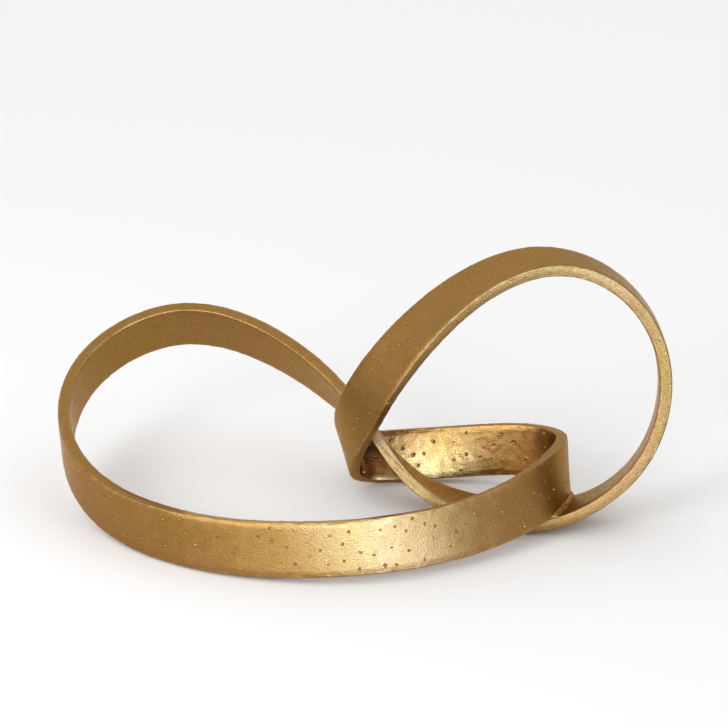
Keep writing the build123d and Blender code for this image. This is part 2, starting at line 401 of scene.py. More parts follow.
# -------- finishes
@dataclass(frozen=True)
class CastGold:
    """Gold metallic finish over sand-cast aluminium, rubbed back by hand.

    The cast skin gives the eye a fine sandy grain. Rubbing gives faint lines along
    the band and paler corners. Filing gives more matt stretches of paler metal, made
    paler still by a painted highlight, with painted shade darkening their grooves.
    Painted shade also darkens the insides of the pits.
    """

    name: str = "gold finish on sand-cast aluminium"
    body: str = "#9A7142"
    olive: str = "#947037"
    rose: str = "#997443"
    worn: str = "#B08D58"
    # Paler filed metal, lightened further by a painted highlight.
    filed_and_sheen: str = "#CEB17A"
    # Painted shade in the grooves of the filed stretches.
    groove_shade: str = "#8A662C"
    # Painted shade inside the pits.
    pit_shade: str = "#8C6A33"
    glance: str = "#FCEAD4"  # the tint of the shine at flat angles
    roughness: tuple[float, float] = (0.28, 0.41)
    matt: float = 0.2  # roughness that filing adds
    shine: float = 0.014  # roughness that each unit of lumpiness takes off
    speckle: tuple[float, float] = (0.84, 1.18)  # how dark and how light the grain goes
    tone_size: float = 34.0
    mottle_size: float = 7.0
    grain_size: float = 0.7  # real grit is about 0.3 mm, drawn coarser so that it shows
    line_length: float = 14.0
    line_width: float = 0.55
    grain_depth: float = 0.19
    line_depth: float = 0.012
    sandy: float = 2.0  # grain that filing adds
    polish: float = 0.06  # grain that each unit of lumpiness takes off

    def material(self) -> bpy.types.Material:
        """Builds the node material.

        Returns:
            The finished material.
        """
        made = bpy.data.materials.new(self.name)
        made.use_nodes = True
        tree = made.node_tree
        shader = tree.nodes["Principled BSDF"]
        shader.inputs["Metallic"].default_value = 1.0
        shader.inputs["Specular Tint"].default_value = linear(self.glance)
        spot = add(tree, "ShaderNodeTexCoord").outputs["Object"]
        bar = add(tree, "ShaderNodeAttribute", attribute_name="bar_mm").outputs["Vector"]
        stretch = (1 / self.line_length, 1 / self.line_width, 1 / self.line_width)
        along = add(tree, VECTOR, {0: bar, 1: stretch}, operation="MULTIPLY")
        noise = {
            key: add(tree, NOISE, {"Vector": where, "Scale": scale, "Detail": detail})
            for key, where, scale, detail in (
                ("tone", spot, 1 / (self.tone_size * MM), 2.0),
                ("mottle", spot, 1 / (self.mottle_size * MM), 4.0),
                ("grain", spot, 1 / (self.grain_size * MM), 3.0),
                ("lines", along, 1.0, 2.0),
            )
        }
        mark = {
            key: add(tree, "ShaderNodeAttribute", attribute_name=key).outputs["Fac"]
            for key in ("corner", "pit", "rough", "lumpy")
        }
        rubbed = add(tree, MATH, {0: mark["corner"], 1: noise["mottle"]}, operation="MULTIPLY")
        broken = add(tree, MATH, {0: noise["lines"], 1: noise["grain"]}, operation="ADD")
        # Mask of the painted shade in the filed grooves: rough patches broken by lines and grain.
        groove_shade_mask = add(tree, MATH, {0: mark["rough"], 1: broken}, operation="MULTIPLY")
        # Each colour comes in over the last one, from the first value given to the second.
        colour = linear(self.olive)
        for source, start, full, code in (
            (noise["tone"], 0.35, 0.65, self.body),
            (noise["mottle"], 0.50, 0.78, self.rose),
            (rubbed, 0.35, 0.85, self.worn),
            # The filed colour, partly a painted highlight.
            (mark["rough"], 0.5, 1.0, self.filed_and_sheen),
            # Painted shade in the grooves.
            (groove_shade_mask, 0.95, 1.15, self.groove_shade),
            # Painted shade inside the pits.
            (mark["pit"], 0.0, 1.0, self.pit_shade),
        ):
            share = add(tree, RANGE, {"Value": source, "From Min": start, "From Max": full})
            layers = {0: share, 6: colour, 7: linear(code)}
            colour = add(tree, "ShaderNodeMix", layers, data_type="RGBA").outputs[2]
        speckle, even = (
            add(
                tree,
                RANGE,
                {"Value": source, "From Min": low, "From Max": high, "To Min": least, "To Max": most},
            )
            for source, low, high, (least, most) in (
                (noise["grain"], 0.35, 0.65, self.speckle),
                (noise["mottle"], 0.3, 0.7, self.roughness),
            )
        )
        colour = add(tree, VECTOR, {0: colour, "Scale": speckle}, operation="SCALE")
        rough, lumpy = mark["rough"], mark["lumpy"]
        dull = add(tree, MATH, {0: rough, 1: self.matt, 2: even}, operation="MULTIPLY_ADD")
        gloss = add(tree, MATH, {0: lumpy, 1: -self.shine, 2: dull}, operation="MULTIPLY_ADD")
        normal = self.bumps(tree, noise, mark)
        for key, node in (("Base Color", colour), ("Roughness", gloss), ("Normal", normal)):
            tree.links.new(node.outputs[0], shader.inputs[key])
        return made

    def bumps(self, tree: Tree, noise: dict[str, Node], mark: dict[str, Socket]) -> Node:
        """Lays the sandy grain and the rubbed lines over the surface.

        Args:
            tree: the material's tree.
            noise: the noises by name.
            mark: the piece's attributes by name.

        Returns:
            The node that bends the normal.
        """
        rough, lumpy = mark["rough"], mark["lumpy"]
        plain = add(tree, MATH, {0: lumpy, 1: -self.polish, 2: 1.0}, operation="MULTIPLY_ADD")
        sandy = add(tree, MATH, {0: rough, 1: self.sandy, 2: plain}, operation="MULTIPLY_ADD")
        sand = add(tree, MATH, {0: noise["grain"], 1: sandy}, operation="MULTIPLY")
        drawn = add(tree, MATH, {0: noise["lines"], 1: lumpy}, operation="MULTIPLY")
        reach = self.grain_depth * MM
        fine = add(tree, "ShaderNodeBump", {"Height": sand, "Strength": 1.0, "Distance": reach})
        reach = self.line_depth * MM
        return add(
            tree,
            "ShaderNodeBump",
            {"Height": drawn, "Strength": 1.0, "Distance": reach, "Normal": fine},
        )


# -------- the band's section
@dataclass(frozen=True)
class Outline:
    """The rounded section as a closed ring of points, each given across and inward."""

    width: float
    thickness: float
    radius: float
    step: float
    turns: int = 5  # points round each corner
    corner_reach: float = 2.0  # radii over which a side stops being a corner

    def points(self) -> Section:
        """Walks round the section.

        Returns:
            The points, the ways they face, and how much each belongs to a corner, 0 to 1.
        """
        w, t, r = self.width / 2 - self.radius, self.thickness / 2 - self.radius, self.radius
        spots, facing, corner = [], [], []
        for (x, y), start, length in (
            ((w, t), 0.0, w * 2),
            ((-w, t), 0.5, t * 2),
            ((-w, -t), 1.0, w * 2),
            ((w, -t), 1.5, t * 2),
        ):
            number = max(2, round(length / self.step))
            steps = [(0.5 * i / self.turns, 0.0) for i in range(self.turns)]
            steps += [(0.5, length * i / number) for i in range(number)]
            for turn, run in steps:
                angle = math.pi * (start + turn)
                out = np.array((math.cos(angle), math.sin(angle)))
                ahead = np.array((-out[1], out[0]))
                spots.append(np.array((x, y)) + out * r + ahead * run)
                facing.append(out)
                near = min(run, length - run)
                corner.append(max(0.0, 1.0 - near / (self.corner_reach * r)))
        return np.array(spots), np.array(facing), np.array(corner)


class Side(Enum):
    """The band's four sides, as (across, inward)."""

    INNER_FACE = (0, 1)
    OUTER_FACE = (0, -1)
    TOP_EDGE = (1, 0)
    LOW_EDGE = (-1, 0)


@dataclass(frozen=True)
class Patch:
    """A stretch of one side that takes more or less of a mark than the rest.

    First, last and fade are counted in guide points, and sunk and rise in edge radii.
    """

    first: float
    last: float
    side: Side
    strength: float
    fade: float = 0.25
    sunk: float = 1.6  # how far below the side's surface the patch begins
    rise: float = 1.2  # how much nearer the surface it is at full strength

    def mask(self, knot: Knot, place: np.ndarray, at: np.ndarray) -> np.ndarray:
        """How much of the mark each point takes.

        Args:
            knot: the band's sizes.
            place: each point's place along the knot.
            at: each point's across and inward offset.

        Returns:
            One amount per point.
        """
        begin = np.clip((place - self.first) / self.fade, 0, 1)
        end = np.clip((self.last - place) / self.fade, 0, 1)
        across, inward = self.side.value
        reach = at[:, 0] * across + at[:, 1] * inward
        full = knot.band_width / 2 if across else knot.band_thickness / 2
        radius = knot.edge_radius
        near = np.clip((reach - full + self.sunk * radius) / (self.rise * radius), 0, 1)
        return self.strength * begin * end * near


def build_mesh(name: str, points: np.ndarray, faces: list[tuple[int, ...]]) -> Piece:
    """Makes a mesh object from points in millimetres.

    Args:
        name: the object's name.
        points: one row per vertex.
        faces: vertex numbers, counter-clockwise from outside.

    Returns:
        The object, linked to the scene.
    """
    mesh = bpy.data.meshes.new(name)
    mesh.from_pydata((points * MM).tolist(), [], faces)
    mesh.update()
    made = bpy.data.objects.new(name, mesh)
    bpy.context.scene.collection.objects.link(made)
    return made


def set_points(made: Piece, name: str, values: np.ndarray) -> None:
    """Stores one number or one vector per vertex.

    Args:
        made: the mesh object.
        name: the attribute's name.
        values: one row per vertex.
    """
    kind, key = ("FLOAT", "value") if values.ndim == 1 else ("FLOAT_VECTOR", "vector")
    attribute = made.data.attributes.new(name, kind, "POINT")
    attribute.data.foreach_set(key, np.ascontiguousarray(values, np.float32).ravel())


def tube_faces(rings: int, around: int) -> list[tuple[int, ...]]:
    """Faces of a closed tube whose end centres are its last two vertices.

    Args:
        rings: number of rings.
        around: vertices in each ring.

    Returns:
        Quads between rings, and a fan at each end.
    """
    faces: list[tuple[int, ...]] = []
    for i in range(rings - 1):
        for j in range(around):
            k = (j + 1) % around
            low, high = i * around, (i + 1) * around
            faces.append((low + k, low + j, high + j, high + k))
    first, last = rings * around, rings * around + 1
    for j in range(around):
        k = (j + 1) % around
        faces.append((first, j, k))
        faces.append((last, (rings - 1) * around + k, (rings - 1) * around + j))
    return faces


# -------- the reliefs
@dataclass(frozen=True)
class Relief:
    """A surface relief that Geometry Nodes gives a piece."""

    def sizes(self) -> dict[str, float]:
        """The tree's named inputs and their values, each a field of the same name."""
        return {name: getattr(self, name.lower().replace(" ", "_")) for name in self.named()}

    def named(self) -> tuple[str, ...]:
        """The names of the tree's inputs."""
        return ()

    def start(self, name: str) -> tuple[Tree, bpy.types.NodeOutputs]:
        """Opens a tree with the geometry and each named size as its inputs.

        Args:
            name: the tree's name.

        Returns:
            The tree, and what its inputs give.
        """
        tree = bpy.data.node_groups.new(name, "GeometryNodeTree")
        face = tree.interface
        face.new_socket("Geometry", in_out="INPUT", socket_type="NodeSocketGeometry")
        for key, value in self.sizes().items():
            kind = "NodeSocketInt" if isinstance(value, int) else "NodeSocketFloat"
            face.new_socket(key, in_out="INPUT", socket_type=kind)
        face.new_socket("Geometry", in_out="OUTPUT", socket_type="NodeSocketGeometry")
        return tree, add(tree, "NodeGroupInput").outputs

    def close(self, tree: Tree, shaped: Node, finish: bpy.types.Material) -> Tree:
        """Ends a tree: its instances are made real and its material is set.

        Args:
            tree: the tree being built.
            shaped: the node that gives the finished shape.
            finish: the material.

        Returns:
            The tree.
        """
        real = add(tree, "GeometryNodeRealizeInstances", {0: shaped})
        dressed = add(tree, "GeometryNodeSetMaterial", {"Geometry": real, "Material": finish})
        add(tree, "NodeGroupOutput", {0: dressed})
        return tree

    def apply(self, made: Piece, tree: Tree, extra_seed: int = 0) -> None:
        """Runs the tree on a piece, keeps the result as its mesh and removes the modifier.

        Args:
            made: the piece.
            tree: this relief's tree.
            extra_seed: added to the seed, so that no two castings match.
        """
        modifier = made.modifiers.new(tree.name, "NODES")
        modifier.node_group = tree
        values = self.sizes()
        if "Seed" in values:
            values["Seed"] += extra_seed
        for item in tree.interface.items_tree:
            if item.item_type == "SOCKET" and item.in_out == "INPUT" and item.name in values:
                modifier[item.identifier] = values[item.name]
        graph = bpy.context.evaluated_depsgraph_get()
        graph.update()
        result = bpy.data.meshes.new_from_object(made.evaluated_get(graph), depsgraph=graph)
        made.modifiers.clear()
        made.data = result


@dataclass(frozen=True)
class CastSkin(Relief):
    """The relief of the cast and rubbed surface, cut by Geometry Nodes.

    Slow waves come from the sand mould, small lumps from rubbing by hand, and pits
    from gas in the casting. Every move goes inward, from a section that starts a
    little oversize.
    """

    wave_depth: float = 0.24
    wave_size: float = 22.0
    lump_depth: float = 0.07
    lump_size: float = 5.0
    rough_depth: float = 0.9
    rough_size: float = 2.0
    groove: float = 0.4  # below 1 it draws the rough pattern out along the band
    corner_depth: float = 0.55
    corner_size: float = 4.0
    crease: float = 38.0  # degrees past which an edge is left sharp
    pit_gap: float = 6.4
    pit_small: float = 1.0
    pit_large: float = 1.75
    pit_depth: float = 0.6  # share of the ball's radius that goes below the skin
    pit_crowd: float = 1.2  # pits tried in each square of one gap
    pit_ragged: float = 0.55  # share of the radius that lumps may take off the ball
    pit_lumps: float = 900.0  # lumps to a metre, on a ball of one millimetre radius
    pit_facets: int = 3
    pit_turn: float = 6.28
    pit_squeeze: tuple[float, float] = (0.75, 1.25)
    turn_seed: int = 5
    squeeze_seed: int = 6
    seed: int = 3

    def named(self) -> tuple[str, ...]:
        """Lists the tree's inputs: four moves of the skin, then the pits.

        Returns:
            Their names.
        """
        kinds = ("Wave", "Lump", "Rough", "Corner")
        moves = [f"{kind} {size}" for kind in kinds for size in ("depth", "size")]
        return (*moves, "Pit gap", "Pit small", "Pit large", "Pit depth", "Seed")

    def tree(self, name: str, finish: bpy.types.Material) -> Tree:
        """Builds the Geometry Nodes tree.

        Args:
            name: the tree's name.
            finish: the material set at the end.

        Returns:
            The tree, with its sizes as named inputs.
        """
        tree, given = self.start(name)
        mark = {
            key: add(tree, STORED, {"Name": key}, data_type=kind)
            for kind, keys in (
                ("FLOAT", ("rough", "corner", "lumpy", "held", "pitted", "pit_scale")),
                ("FLOAT_VECTOR", ("bar_mm", "out")),
            )
            for key in keys
        }
        pitted = self.pits(tree, given, mark, self.shaped(tree, given, mark))
        sharp = add(tree, "GeometryNodeInputMeshEdgeAngle")
        angles = {0: sharp, 1: math.radians(self.crease)}
        smooth = add(tree, "FunctionNodeCompare", angles, data_type="FLOAT", operation="LESS_THAN")
        faces = add(tree, "GeometryNodeSetShadeSmooth", {"Geometry": pitted}, domain="FACE")
        edges = add(
            tree,
            "GeometryNodeSetShadeSmooth",
            {"Geometry": faces, "Shade Smooth": smooth},
            domain="EDGE",
        )
        return self.close(tree, edges, finish)

    def shaped(self, tree: Tree, given: bpy.types.NodeOutputs, mark: dict[str, Node]) -> Node:
        """Moves the skin inward by waves, lumps and rough patches.

        Args:
            tree: the tree being built.
            given: the group's inputs.
            mark: the piece's attributes by name.

        Returns:
            The node that gives the shaped geometry.
        """
        place = add(tree, "GeometryNodeInputPosition")
        spot = add(tree, VECTOR, {0: place, "Scale": 1 / MM}, operation="SCALE")
        stretch = (self.groove, 1.0, 1.0)
        drawn = add(tree, VECTOR, {0: mark["bar_mm"], 1: stretch}, operation="MULTIPLY")
        depth = 0.0
        for kind, share, detail, where in (
            ("Wave", 1.0, 1.0, spot),
            ("Lump", mark["lumpy"], 1.0, spot),
            ("Rough", mark["rough"], 3.0, drawn),
            ("Corner", mark["corner"], 2.0, spot),
        ):
            scale = add(tree, MATH, {0: 1.0, 1: given[f"{kind} size"]}, operation="DIVIDE")
            noise = add(tree, NOISE, {"Vector": where, "Scale": scale, "Detail": detail})
            full = add(tree, MATH, {0: given[f"{kind} depth"], 1: share}, operation="MULTIPLY")
            depth = add(tree, MATH, {0: noise, 1: full, 2: depth}, operation="MULTIPLY_ADD")
        free = add(tree, MATH, {0: 1.0, 1: mark["held"]}, operation="SUBTRACT")
        inward = add(tree, MATH, {0: free, 1: -MM}, operation="MULTIPLY")
        inward = add(tree, MATH, {0: depth, 1: inward}, operation="MULTIPLY")
        shift = add(tree, VECTOR, {0: mark["out"], "Scale": inward}, operation="SCALE")
        return add(tree, SHIFT, {"Geometry": given["Geometry"], "Offset": shift})

    def pits(
        self, tree: Tree, given: bpy.types.NodeOutputs, mark: dict[str, Node], skin: Node
    ) -> Node:
        """Cuts gas pits into the faces.

        Args:
            tree: the tree being built.
            given: the group's inputs.
            mark: the piece's attributes by name.
            skin: the node that gives the geometry to cut.

        Returns:
            The node that gives the pitted geometry, its pits marked by the pit attribute.
        """
        gap = add(tree, MATH, {0: given["Pit gap"], 1: MM}, operation="MULTIPLY")
        cell = add(tree, MATH, {0: gap, 1: gap}, operation="MULTIPLY")
        crowd = add(tree, MATH, {0: self.pit_crowd, 1: cell}, operation="DIVIDE")
        points = add(
            tree,
            "GeometryNodeDistributePointsOnFaces",
            {
                "Mesh": skin,
                "Distance Min": gap,
                "Density Max": crowd,
                "Density Factor": mark["pitted"],
                "Seed": given["Seed"],
            },
            distribute_method="POISSON",
        )
        chance = add(
            tree,
            RANDOM,
            {2: given["Pit small"], 3: given["Pit large"], "Seed": given["Seed"]},
            data_type="FLOAT",
        ).outputs[1]
        size = add(tree, MATH, {0: chance, 1: mark["pit_scale"]}, operation="MULTIPLY")
        out = add(tree, MATH, {0: 1.0, 1: given["Pit depth"]}, operation="SUBTRACT")
        out = add(tree, MATH, {0: out, 1: MM}, operation="MULTIPLY")
        out = add(tree, MATH, {0: out, 1: size}, operation="MULTIPLY")
        normal = points.outputs["Normal"]
        lift = add(tree, VECTOR, {0: normal, "Scale": out}, operation="SCALE")
        raised = add(tree, SHIFT, {"Geometry": points, "Offset": lift})
        ball = add(tree, "GeometryNodeMeshIcoSphere", {"Radius": MM, "Subdivisions": self.pit_facets})
        place = add(tree, "GeometryNodeInputPosition")
        ragged = add(tree, NOISE, {"Vector": place, "Scale": self.pit_lumps, "Detail": 2.0})
        pull = add(tree, MATH, {0: ragged, 1: -self.pit_ragged * MM}, operation="MULTIPLY")
        normal = add(tree, "GeometryNodeInputNormal")
        pull = add(tree, VECTOR, {0: normal, "Scale": pull}, operation="SCALE")
        lump = add(tree, SHIFT, {"Geometry": ball, "Offset": pull})
        marked = add(
            tree,
            "GeometryNodeStoreNamedAttribute",
            {"Geometry": lump, "Name": "pit", "Value": 1.0},
            data_type="FLOAT",
            domain="FACE",
        )
        turn, squeeze = (
            add(tree, RANDOM, {0: (low,) * 3, 1: (high,) * 3, "Seed": seed}, data_type="FLOAT_VECTOR")
            for low, high, seed in (
                (0.0, self.pit_turn, self.turn_seed),
                (*self.pit_squeeze, self.squeeze_seed),
            )
        )
        scale = add(tree, VECTOR, {0: squeeze, "Scale": size}, operation="SCALE")
        placed = add(
            tree,
            "GeometryNodeInstanceOnPoints",
            {"Points": raised, "Instance": marked, "Rotation": turn, "Scale": scale},
        )
        solid = add(tree, "GeometryNodeRealizeInstances", {0: placed})
        return add(
            tree,
            "GeometryNodeMeshBoolean",
            {"Mesh 1": skin, "Mesh 2": solid},
            operation="DIFFERENCE",
            solver="MANIFOLD",
        )


@dataclass(frozen=True)
class WeldSkin(Relief):
    """The ripples and lumps of a weld bead, raised by Geometry Nodes."""

    ripple_depth: float = 0.05
    ripple_gap: float = 1.5
    lump_depth: float = 1.6
    lump_size: float = 2.2

    def named(self) -> tuple[str, ...]:
        """The names of the tree's inputs."""
        return ("Ripple depth", "Ripple gap", "Lump depth", "Lump size")

    def tree(self, finish: bpy.types.Material) -> Tree:
        """Builds the Geometry Nodes tree.

        Args:
            finish: the material set at the end.

        Returns:
            The tree, with its sizes as named inputs.
        """
        tree, given = self.start("weld skin")
        bar = add(tree, STORED, {"Name": "bar_mm"}, data_type="FLOAT_VECTOR")
        run = add(tree, "ShaderNodeSeparateXYZ", {0: bar}).outputs["X"]
        turn = add(tree, MATH, {0: run, 1: math.tau}, operation="MULTIPLY")
        turn = add(tree, MATH, {0: turn, 1: given["Ripple gap"]}, operation="DIVIDE")
        wave = add(tree, MATH, {0: turn}, operation="SINE")
        ripple = add(tree, MATH, {0: wave, 1: given["Ripple depth"]}, operation="MULTIPLY")
        scale = add(tree, MATH, {0: 1.0, 1: given["Lump size"]}, operation="DIVIDE")
        noise = add(tree, NOISE, {"Vector": bar, "Scale": scale, "Detail": 2.0})
        swing = add(tree, MATH, {0: noise, 1: 0.5}, operation="SUBTRACT")
        lumps = {0: swing, 1: given["Lump depth"], 2: ripple}
        height = add(tree, MATH, lumps, operation="MULTIPLY_ADD")
        up = add(tree, MATH, {0: height, 1: MM}, operation="MULTIPLY")
        normal = add(tree, "GeometryNodeInputNormal")
        shift = add(tree, VECTOR, {0: normal, "Scale": up}, operation="SCALE")
        raised = add(tree, SHIFT, {"Geometry": given["Geometry"], "Offset": shift})
        smooth = add(tree, "GeometryNodeSetShadeSmooth", {"Geometry": raised})
        return self.close(tree, smooth, finish)


# -------- the castings
@dataclass(frozen=True)
class Wear:
    """Where the band was left rough or lumpy, and where its pits are larger or smaller."""

    rough: tuple[Patch, ...] = (
        Patch(5.6, 7.6, Side.TOP_EDGE, 0.8),
        Patch(17.4, 21.2, Side.LOW_EDGE, 0.65),
        Patch(20.95, 25.4, Side.LOW_EDGE, 0.52),
        Patch(25.15, 26.9, Side.LOW_EDGE, 1.0),
    )
    lumpy: tuple[Patch, ...] = (Patch(11.4, 15.6, Side.INNER_FACE, 4.5, 1.0),)
    coarse: tuple[Patch, ...] = (
        Patch(1, 4.6, Side.INNER_FACE, -0.25),
        Patch(11.9, 15.3, Side.INNER_FACE, 0.35),
        Patch(17, 28, Side.OUTER_FACE, -0.1),
    )


@dataclass
class Swept:
    """A stretch of the band swept along the knot, with the marks its finish reads."""

    name: str
    wear: Wear = Wear()
    skin_allowance: float = 0.08
    pit_margin: float = 3.0  # stretch of each face beside its edges without pits
    seam_margin: float = 0.12  # guide points at each end without pits
    ground: float = 0.02  # points lower than this are held in place

    def outline(self, knot: Knot, step: float) -> Section:
        """Takes the band's section, grown by what the relief takes off on average.

        Args:
            knot: the band's sizes.
            step: the spacing of points along the sides.

        Returns:
            The section's points, the ways they face, and their corner shares.
        """
        grow = 2 * self.skin_allowance
        width, thickness = knot.band_width + grow, knot.band_thickness + grow
        return Outline(width, thickness, knot.edge_radius, step).points()

    def sweep(
        self,
        knot: Knot,
        places: np.ndarray,
        run: np.ndarray,
        section: Section,
        lift: np.ndarray,
    ) -> Piece:
        """Sweeps a section and stores its bar coordinates and wear.

        Args:
            knot: the path.
            places: the rings' places along the knot.
            run: the rings' distances along the band.
            section: the section's points, the ways they face, and their corner shares.
            lift: how far each point stands out, as rings by points.

        Returns:
            The mesh object.
        """
        at, facing, corner = section
        f = knot.frames(places)
        out = f.across[:, None] * facing[:, :1] + f.inward[:, None] * facing[:, 1:]
        skin = f.centre[:, None] + f.across[:, None] * at[:, :1] + f.inward[:, None] * at[:, 1:]
        skin = skin + out * lift[..., None]
        points = np.concatenate((skin.reshape(-1, 3), f.centre[[0, -1]]))
        held = points[:, 2] < self.ground
        points[:, 2] = np.maximum(points[:, 2], 0)
        made = build_mesh(self.name, points, tube_faces(len(places), len(at)))
        ring = np.append(np.repeat(np.arange(len(places)), len(at)), (0, len(places) - 1))
        place = places[ring]
        offset = np.concatenate((np.tile(at, (len(places), 1)), np.zeros((2, 2))))
        set_points(made, "bar_mm", np.column_stack((run[ring], offset)))
        set_points(made, "out", np.concatenate((out.reshape(-1, 3), np.zeros((2, 3)))))
        set_points(made, "corner", np.append(np.tile(corner, len(places)), (0, 0)))
        set_points(made, "held", held.astype(float))
        for key, patches, base in (
            ("rough", self.wear.rough, 0.0),
            ("lumpy", self.wear.lumpy, 1.0),
            ("pit_scale", self.wear.coarse, 1.0),
        ):
            marks = np.full(len(place), base)
            for patch in patches:
                marks = marks + patch.mask(knot, place, offset)
            set_points(made, key, marks)
        wide = np.abs(offset[:, 0]) < knot.band_width / 2 - self.pit_margin
        away = np.minimum(place - places[0], places[-1] - place) > self.seam_margin
        set_points(made, "pitted", (wide & away & ~held).astype(float))
        return made


@dataclass
class Casting(Swept):
    """One length of the band between two seams."""

    first: float = 0.0
    last: float = 1.0
    end_gap: float = 0.7  # from the seam's middle to the casting's end
    step: float = 0.9

    def build(self, knot: Knot) -> Piece:
        """Sweeps the section along the knot.

        Args:
            knot: the path.

        Returns:
            The mesh object with its attributes.
        """
        section = self.outline(knot, self.step)
        first = self.first + self.end_gap * knot.per_mm(self.first)
        last = self.last - self.end_gap * knot.per_mm(self.last)
        fine = np.linspace(first, last, FINE_SAMPLES)
        run = distances(knot.frames(fine).centre)
        rings = max(4, round(run[-1] / self.step)) + 1
        even = np.linspace(0, run[-1], rings)
        places = np.interp(even, run, fine)
        flat = np.zeros((rings, len(section[0])))
        return self.sweep(knot, places, knot.travel(first) + even, section, flat)


# -------- the welds
@dataclass
class ButtWeld(Swept):
    """A weld that joins two castings end to end, ground flush but for a faint ridge."""

    place: float = 0.0
    ridge: Side | None = None
    half_width: float = 1.5
    flush: float = 0.7  # share of the width that lies flush, before the ends dive in
    proud: float = 0.01
    ridge_height: float = 0.3
    ridge_share: float = 0.3
    ridge_power: int = 4  # keeps the ridge to its own side
    sunk: float = 0.4
    step: float = 0.9
    rings: int = 21

    def build(self, knot: Knot) -> Piece:
        """Sweeps a nearly flush collar across the seam.

        Args:
            knot: the path.

        Returns:
            The mesh object.
        """
        share = np.linspace(-1, 1, self.rings)
        section = self.outline(knot, self.step)
        crown = np.zeros(len(section[0]))
        if self.ridge:
            facing = np.clip(section[1] @ self.ridge.value, 0, 1)
            crown = self.ridge_height * facing**self.ridge_power
        dive = np.clip((np.abs(share[:, None]) - self.flush) / (1 - self.flush), 0, 1)
        peak = np.exp(-((share[:, None] / self.ridge_share) ** 2))
        lift = self.proud + crown * peak - self.sunk * dive
        places = self.place + share * self.half_width * knot.per_mm(self.place)
        run = knot.travel(self.place) + share * self.half_width
        return self.sweep(knot, places, run, section, lift)


@dataclass
class FilletWeld:
    """The bead along one side of the front band, where it stands on the ring."""

    name: str
    side: int
    leg: float = 1.6  # how far the bead reaches out from the corner
    root: float = 1.0  # how deep it is sunk in both bands
    bulge: float = 0.1
    end: float = 1.2  # the length over which each end closes
    tip: float = 0.02  # share of that length where the closing starts
    lip: float = 3.0  # how far past the ring's edge the bead may still run
    rounding: float = 0.4
    step: float = 0.4
    arc: int = 9
    samples: int = 600
    spread: float = 0.7  # bar distance between neighbours round the bead

    def build(self, knot: Knot) -> Piece:
        """Sweeps a rounded bead along the corner between the two bands.

        Args:
            knot: the path.

        Returns:
            The mesh object.
        """
        stack = self.sections(knot)
        run = distances(stack.mean(1))
        marks = np.linspace(0, run[-1], max(8, round(run[-1] / self.step)))
        around = stack.shape[1]
        picked = np.apply_along_axis(lambda values: np.interp(marks, run, values), 0, stack)
        near_end = np.clip(np.minimum(marks, run[-1] - marks) / self.end, self.tip, 1)
        shrink = np.sqrt(1 - (1 - near_end) ** 2)[:, None, None]
        anchor = picked[:, self.arc : self.arc + 1]
        picked = (anchor + (picked - anchor) * shrink)[:, :: self.side]
        points = np.concatenate((picked.reshape(-1, 3), picked[[0, -1]].mean(1)))
        made = build_mesh(self.name, points, tube_faces(len(marks), around))
        offset = np.tile(np.arange(around, dtype=float), len(marks)) * self.spread
        bar = np.column_stack((np.repeat(marks, around), offset, np.zeros(len(offset))))
        set_points(made, "bar_mm", np.concatenate((bar, np.zeros((2, 3)))))
        return made

    def sections(self, knot: Knot) -> np.ndarray:
        """Finds the bead's section at each place where the front band stands on the ring.

        Args:
            knot: the path.

        Returns:
            Places by points by x, y and z.
        """
        half_width, half_thick = knot.band_width / 2, knot.band_thickness / 2
        ring = knot.frames(np.linspace(*RING_FOOT, FINE_SAMPLES))
        front = knot.frames(np.linspace(*FRONT_BAND, self.samples))
        corner = front.centre - front.across * half_width + front.inward * self.side * half_thick
        share = np.linspace(0, 1, self.arc)[:, None]
        rows = []
        for i, point in enumerate(corner):
            along, across = front.along[i], front.across[i]
            away = front.inward[i] * self.side
            toe, reach = self.foot(knot, ring, point + away * self.leg, along)
            if reach > half_width + self.lip:
                continue
            under = point - away * half_thick
            heel, _ = self.foot(knot, ring, under, along)
            rise = across * (self.leg + self.root)
            top = point + rise - away * self.root
            lean = unit(away + across)
            bead = top + (toe - top) * share + lean * self.bulge * np.sin(math.pi * share)
            rows.append(np.concatenate((bead, [heel, under + rise])))
        return np.array(rows)

    def foot(
        self, knot: Knot, ring: Frames, point: np.ndarray, along: np.ndarray
    ) -> tuple[np.ndarray, float]:
        """Finds the place on the ring's inner face under a point, sunk by the root.

        Args:
            knot: the band's sizes.
            ring: finely spaced frames of the ring.
            point: the point above.
            along: the way down stays square to this.

        Returns:
            The place, and how far it is from the ring's middle line.
        """
        k = int(np.abs(dot(point - ring.centre, ring.along)).argmin())
        offset = point - ring.centre[k]
        height = offset @ ring.inward[k] - knot.band_thickness / 2
        down = ring.inward[k] - along * (along @ ring.inward[k])
        place = point - down * ((height + self.root) / (down @ ring.inward[k]))
        reach = float(offset @ ring.across[k])
        over = abs(reach) - knot.band_width / 2 + self.rounding
        if over > 0:
            place = place - ring.across[k] * math.copysign(over, reach)
        return place, abs(reach)


